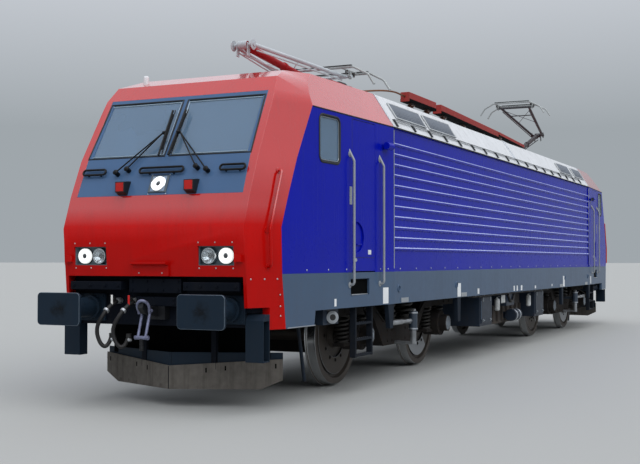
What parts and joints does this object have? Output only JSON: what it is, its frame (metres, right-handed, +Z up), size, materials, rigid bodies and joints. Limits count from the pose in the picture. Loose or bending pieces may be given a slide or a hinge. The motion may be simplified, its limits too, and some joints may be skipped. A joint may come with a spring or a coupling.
{
  "type": "electric locomotive",
  "caption": "Heavy electric freight locomotive with a cab at each end, corrugated sides, two bogies and roof pantographs, one folded and one part raised.",
  "frame": {"origin": "middle of the locomotive, on the level of the flange tips", "axes": "+X towards cab 1, the end with the lowered pantograph; +Y to the left of cab 1; +Z up"},
  "size_m": [19.58, 3.1448, 5.1932],
  "materials": {
    "red_paint": "gloss",
    "blue_paint": "gloss",
    "roof_paint": "satin",
    "slate_paint": "satin",
    "beam_paint": "satin",
    "screen_paint": "satin",
    "dark_paint": "matt",
    "bogie_paint": "matt",
    "case_paint": "matt",
    "wheel_steel": "worn",
    "bare_steel": "worn",
    "worn_plate": "worn",
    "cast_iron": "matt",
    "glass": "clear",
    "lamp_glass": "clear",
    "black_plastic": "matt",
    "black_rubber": "matt",
    "ceramic": "gloss",
    "seat_fabric": "matt",
    "arm_paint": "satin",
    "tube_paint": "satin",
    "head_metal": "worn",
    "rail_paint": "satin"
  },
  "bodies": {
    "carbody": {"brake_hoses": "black_rubber", "buffer_beams": "beam_paint", "buffers": "slate_paint", "cab_bulkheads": "roof_paint", "cab_noses": "red_paint", "cab_roofs": "red_paint", "cab_sides": "blue_paint", "cab_windows": "glass", "corner_steps": "slate_paint", "door_ladders": "dark_paint", "draw_hooks": "bare_steel", "driver_desks": "dark_paint", "driver_seats": "seat_fabric", "handrails": "rail_paint", "nose_rails": "red_paint", "rear_cameras": "blue_paint", "cab_skirts": "slate_paint", "sand_boxes": "slate_paint", "roof_aerials": "roof_paint", "lamp_housings": "black_plastic", "lamp_lenses": "lamp_glass", "nose_loops": "black_plastic", "pantograph_bases": "arm_paint", "roof_ducts": "arm_paint", "roof_grilles": "dark_paint", "roof_insulators": "ceramic", "roof_shell": "roof_paint", "screen_frames": "screen_paint", "side_panels": "blue_paint", "sills": "slate_paint", "snowploughs": "worn_plate", "transformer": "case_paint", "underfloor_cases": "case_paint", "underframe": "bogie_paint", "king_pins": "bare_steel", "wipers": "black_plastic"},
    "door_1_left": {"door_1_left": "blue_paint"},
    "door_1_right": {"door_1_right": "blue_paint"},
    "door_2_left": {"door_2_left": "blue_paint"},
    "door_2_right": {"door_2_right": "blue_paint"},
    "bogie_1": {"bogie_frame_1": "bogie_paint", "axleboxes_1": "cast_iron", "bogie_springs_1": "bogie_paint", "bogie_dampers_1": "bare_steel", "traction_motors_1": "case_paint"},
    "bogie_2": {"bogie_frame_2": "bogie_paint", "axleboxes_2": "cast_iron", "bogie_springs_2": "bogie_paint", "bogie_dampers_2": "bare_steel", "traction_motors_2": "case_paint"},
    "wheelset_1": {"wheelset_1": "wheel_steel"},
    "wheelset_2": {"wheelset_2": "wheel_steel"},
    "wheelset_3": {"wheelset_3": "wheel_steel"},
    "wheelset_4": {"wheelset_4": "wheel_steel"},
    "pantograph_1_lower_arm": {"pantograph_1_lower_arm": "arm_paint"},
    "pantograph_1_upper_arm": {"pantograph_1_upper_arm": "tube_paint"},
    "pantograph_1_head": {"pantograph_1_head": "head_metal"},
    "pantograph_2_lower_arm": {"pantograph_2_lower_arm": "arm_paint"},
    "pantograph_2_upper_arm": {"pantograph_2_upper_arm": "tube_paint"},
    "pantograph_2_head": {"pantograph_2_head": "head_metal"}
  },
  "joints": [
    {"name": "door_1_left_hinge", "type": "hinge", "parent": "carbody", "child": "door_1_left", "pos_m": [6.67676, 1.39657, 1.5], "axis": [0, 0, -1], "range_deg": [0, 85]},
    {"name": "door_1_right_hinge", "type": "hinge", "parent": "carbody", "child": "door_1_right", "pos_m": [6.67676, -1.39657, 1.5], "axis": [0, 0, 1], "range_deg": [0, 85]},
    {"name": "door_2_left_hinge", "type": "hinge", "parent": "carbody", "child": "door_2_left", "pos_m": [-6.67676, 1.39657, 1.5], "axis": [0, 0, 1], "range_deg": [0, 85]},
    {"name": "door_2_right_hinge", "type": "hinge", "parent": "carbody", "child": "door_2_right", "pos_m": [-6.67676, -1.39657, 1.5], "axis": [0, 0, -1], "range_deg": [0, 85]},
    {"name": "bogie_1_yaw", "type": "hinge", "parent": "carbody", "child": "bogie_1", "pos_m": [4.95, 0, 0.8], "axis": [0, 0, 1], "range_deg": [-3, 3]},
    {"name": "bogie_2_yaw", "type": "hinge", "parent": "carbody", "child": "bogie_2", "pos_m": [-4.95, 0, 0.8], "axis": [0, 0, 1], "range_deg": [-3, 3]},
    {"name": "wheelset_1_roll", "type": "hinge", "parent": "bogie_1", "child": "wheelset_1", "pos_m": [6.45, 0, 0.653], "axis": [0, 1, 0], "continuous": true},
    {"name": "wheelset_2_roll", "type": "hinge", "parent": "bogie_1", "child": "wheelset_2", "pos_m": [3.45, 0, 0.653], "axis": [0, 1, 0], "continuous": true},
    {"name": "wheelset_3_roll", "type": "hinge", "parent": "bogie_2", "child": "wheelset_3", "pos_m": [-3.45, 0, 0.653], "axis": [0, 1, 0], "continuous": true},
    {"name": "wheelset_4_roll", "type": "hinge", "parent": "bogie_2", "child": "wheelset_4", "pos_m": [-6.45, 0, 0.653], "axis": [0, 1, 0], "continuous": true},
    {"name": "pantograph_1_lower_pivot", "type": "hinge", "parent": "carbody", "child": "pantograph_1_lower_arm", "pos_m": [5.3, 0, 4.048], "axis": [0, -1, 0], "range_deg": [0, 37]},
    {"name": "pantograph_1_knee", "type": "hinge", "parent": "pantograph_1_lower_arm", "child": "pantograph_1_upper_arm", "pos_m": [7.39232, 0, 4.22738], "axis": [0, 1, 0], "range_deg": [0, 78.81]},
    {"name": "pantograph_1_head_pivot", "type": "hinge", "parent": "pantograph_1_upper_arm", "child": "pantograph_1_head", "pos_m": [5.27451, 0, 4.13121], "axis": [0, -1, 0], "range_deg": [0, 41.81]},
    {"name": "pantograph_2_lower_pivot", "type": "hinge", "parent": "carbody", "child": "pantograph_2_lower_arm", "pos_m": [-5.3, 0, 4.048], "axis": [0, 1, 0], "range_deg": [-12.3, 24.7]},
    {"name": "pantograph_2_knee", "type": "hinge", "parent": "pantograph_2_lower_arm", "child": "pantograph_2_upper_arm", "pos_m": [-7.30609, 0, 4.66899], "axis": [0, -1, 0], "range_deg": [-26.2, 52.61]},
    {"name": "pantograph_2_head_pivot", "type": "hinge", "parent": "pantograph_2_upper_arm", "child": "pantograph_2_head", "pos_m": [-5.22717, 0, 5.08436], "axis": [0, 1, 0], "range_deg": [-13.9, 27.91]}
  ],
  "couplings": [
    {"joint": "pantograph_1_knee", "follows": "pantograph_1_lower_pivot", "ratio": 2.13},
    {"joint": "pantograph_1_head_pivot", "follows": "pantograph_1_lower_pivot", "ratio": 1.13},
    {"joint": "pantograph_2_knee", "follows": "pantograph_2_lower_pivot", "ratio": 2.13},
    {"joint": "pantograph_2_head_pivot", "follows": "pantograph_2_lower_pivot", "ratio": 1.13}
  ]
}
